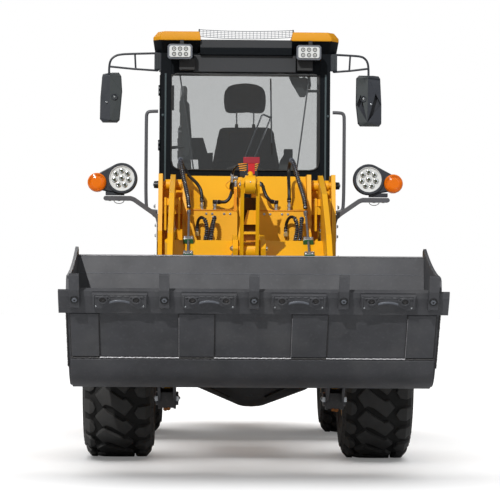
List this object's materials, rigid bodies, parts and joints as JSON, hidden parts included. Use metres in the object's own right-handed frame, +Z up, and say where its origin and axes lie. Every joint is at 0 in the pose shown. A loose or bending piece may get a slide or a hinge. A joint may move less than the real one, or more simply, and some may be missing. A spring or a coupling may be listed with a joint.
{
  "type": "wheel loader",
  "caption": "Compact articulated wheel loader with a front bucket on a Z-bar boom, enclosed cab, rear engine hood and counterweight, hinged at its middle.",
  "frame": {"origin": "centre of the footprint box on the ground", "axes": "+Z up; the machine faces -Y; +X is the driver's left"},
  "size_m": [1.944, 5.1709, 2.566],
  "materials": {
    "black": "satin",
    "chrome": "satin",
    "engine": "satin",
    "fabric": "satin",
    "glass": "satin",
    "grey": "satin",
    "iron": "satin",
    "lamp": "satin",
    "plastic": "satin",
    "red": "satin",
    "rubber": "satin",
    "steel": "satin",
    "tyre": "satin",
    "yellow": "gloss",
    "yellow_plastic": "gloss"
  },
  "bodies": {
    "rear": {"rear_frame": "yellow", "counterweight": "iron", "engine_block": "engine", "engine_cowl": "yellow", "exhaust_stack": "black", "side_tanks": "black", "cab_steps": "black", "rear_fenders": "plastic", "rear_axle": "black", "cab_floor": "black", "cab_frame": "black", "cab_glass": "glass", "cab_roof": "yellow_plastic", "seat_base": "plastic", "seat_cushion": "fabric", "seat_back": "fabric", "console": "plastic", "mirrors": "plastic", "grab_rails": "black", "work_lights": "lamp"},
    "hood": {"engine_hood": "yellow"},
    "door_left": {"cab_door_left": "yellow", "door_glass_left": "glass"},
    "door_right": {"cab_door_right": "yellow", "door_glass_right": "glass"},
    "steering_wheel": {"steering_wheel": "plastic"},
    "wheel_front_left": {"tyre_front_left": "tyre", "rim_front_left": "yellow"},
    "wheel_front_right": {"tyre_front_right": "tyre", "rim_front_right": "yellow"},
    "wheel_rear_left": {"tyre_rear_left": "tyre", "rim_rear_left": "yellow"},
    "wheel_rear_right": {"tyre_rear_right": "tyre", "rim_rear_right": "yellow"},
    "front": {"front_frame": "yellow", "valve_cover": "yellow_plastic", "front_axle": "black", "front_fenders": "plastic", "headlight_brackets": "grey", "headlights": "lamp", "hose_fittings": "steel", "face_hoses": "rubber", "boom_hoses": "rubber", "tilt_hoses": "rubber"},
    "boom": {"boom": "yellow", "boom_pipes": "steel"},
    "rocker": {"rocker": "yellow"},
    "bucket": {"bucket": "grey", "edge_segments": "grey", "bucket_teeth": "grey"},
    "bucket_link": {"bucket_link": "yellow"},
    "lift_barrels": {"lift_barrels": "yellow"},
    "lift_rods": {"lift_rods": "chrome"},
    "tilt_barrel": {"tilt_barrel": "yellow"},
    "tilt_rod": {"tilt_rod": "chrome", "level_indicator": "red"},
    "steer_barrel_left": {"steer_barrel_left": "yellow"},
    "steer_rod_left": {"steer_rod_left": "chrome"},
    "steer_barrel_right": {"steer_barrel_right": "yellow"},
    "steer_rod_right": {"steer_rod_right": "chrome"}
  },
  "joints": [
    {"name": "articulation", "type": "hinge", "parent": "rear", "child": "front", "pos_m": [0, 0.35, 0.7], "axis": [0, 0, 1], "range_deg": [-35, 35]},
    {"name": "boom_lift", "type": "hinge", "parent": "front", "child": "boom", "pos_m": [0, -0.25, 1.578], "axis": [-1, 0, 0], "range_deg": [-7, 80], "deforming": ["boom_hoses"]},
    {"name": "bucket_tilt", "type": "hinge", "parent": "boom", "child": "bucket", "pos_m": [0, -1.84, 0.385], "axis": [-1, 0, 0], "range_deg": [-165, 0]},
    {"name": "rocker_pivot", "type": "hinge", "parent": "boom", "child": "rocker", "pos_m": [0, -1.13, 1.175], "axis": [-1, 0, 0], "range_deg": [-0.5, 47.27]},
    {"name": "link_pivot", "type": "hinge", "parent": "bucket", "child": "bucket_link", "pos_m": [0, -1.746, 0.55], "axis": [-1, 0, 0], "range_deg": [-0.5, 142.38]},
    {"name": "tilt_barrel_pivot", "type": "hinge", "parent": "front", "child": "tilt_barrel", "pos_m": [0, -0.25, 1.578], "axis": [-1, 0, 0], "range_deg": [-7.5, 80.5], "deforming": ["tilt_hoses"]},
    {"name": "tilt_rod_slide", "type": "slide", "parent": "tilt_barrel", "child": "tilt_rod", "axis": [0, -0.999, -0.0445], "range_m": [-0.3183, 0.001]},
    {"name": "lift_barrel_pivot", "type": "hinge", "parent": "front", "child": "lift_barrels", "pos_m": [0, -0.195, 0.7], "axis": [-1, 0, 0], "range_deg": [-1.43, 11.14]},
    {"name": "lift_rod_slide", "type": "slide", "parent": "lift_barrels", "child": "lift_rods", "axis": [0, -0.4706, 0.8823], "range_m": [-0.0405, 0.4526]},
    {"name": "steer_barrel_left_pivot", "type": "hinge", "parent": "rear", "child": "steer_barrel_left", "pos_m": [0.205, 0.87, 0.7], "axis": [0, 0, 1], "range_deg": [-4.44, 4.44]},
    {"name": "steer_rod_left_slide", "type": "slide", "parent": "steer_barrel_left", "child": "steer_rod_left", "axis": [0.0944, -0.9955, 0], "range_m": [-0.1493, 0.1493]},
    {"name": "steer_barrel_right_pivot", "type": "hinge", "parent": "rear", "child": "steer_barrel_right", "pos_m": [-0.205, 0.87, 0.7], "axis": [0, 0, 1], "range_deg": [-4.44, 4.44]},
    {"name": "steer_rod_right_slide", "type": "slide", "parent": "steer_barrel_right", "child": "steer_rod_right", "axis": [-0.0944, -0.9955, 0], "range_m": [-0.1493, 0.1493]},
    {"name": "hood_hinge", "type": "hinge", "parent": "rear", "child": "hood", "pos_m": [0, 1.658, 1.582], "axis": [1, 0, 0], "range_deg": [0, 60]},
    {"name": "door_left_hinge", "type": "hinge", "parent": "rear", "child": "door_left", "pos_m": [0.535, 1.126, 1.7], "axis": [0, 0, 1], "range_deg": [0, 95]},
    {"name": "door_right_hinge", "type": "hinge", "parent": "rear", "child": "door_right", "pos_m": [-0.535, 1.126, 1.7], "axis": [0, 0, -1], "range_deg": [0, 95]},
    {"name": "steering_wheel_turn", "type": "hinge", "parent": "rear", "child": "steering_wheel", "pos_m": [0, 0.66, 1.604], "axis": [0, 0.7894, 0.6139], "continuous": true},
    {"name": "wheel_front_left_spin", "type": "hinge", "parent": "front", "child": "wheel_front_left", "pos_m": [0.723, -0.8, 0.47], "axis": [1, 0, 0], "continuous": true},
    {"name": "wheel_front_right_spin", "type": "hinge", "parent": "front", "child": "wheel_front_right", "pos_m": [-0.723, -0.8, 0.47], "axis": [1, 0, 0], "continuous": true},
    {"name": "wheel_rear_left_spin", "type": "hinge", "parent": "rear", "child": "wheel_rear_left", "pos_m": [0.723, 1.5, 0.47], "axis": [1, 0, 0], "continuous": true},
    {"name": "wheel_rear_right_spin", "type": "hinge", "parent": "rear", "child": "wheel_rear_right", "pos_m": [-0.723, 1.5, 0.47], "axis": [1, 0, 0], "continuous": true}
  ],
  "couplings": [
    {"joint": "rocker_pivot", "follows": "bucket_tilt", "ratio": -0.28343},
    {"joint": "link_pivot", "follows": "bucket_tilt", "ratio": -0.85986},
    {"joint": "tilt_barrel_pivot", "follows": "boom_lift", "ratio": 1},
    {"joint": "tilt_rod_slide", "follows": "bucket_tilt", "m_per_rad": 0.11019},
    {"joint": "lift_barrel_pivot", "follows": "boom_lift", "ratio": 0.13299},
    {"joint": "lift_rod_slide", "follows": "boom_lift", "m_per_rad": 0.32345},
    {"joint": "steer_barrel_left_pivot", "follows": "articulation", "ratio": 0.11245},
    {"joint": "steer_rod_left_slide", "follows": "articulation", "m_per_rad": -0.24278},
    {"joint": "steer_barrel_right_pivot", "follows": "articulation", "ratio": 0.11245},
    {"joint": "steer_rod_right_slide", "follows": "articulation", "m_per_rad": 0.24278}
  ]
}
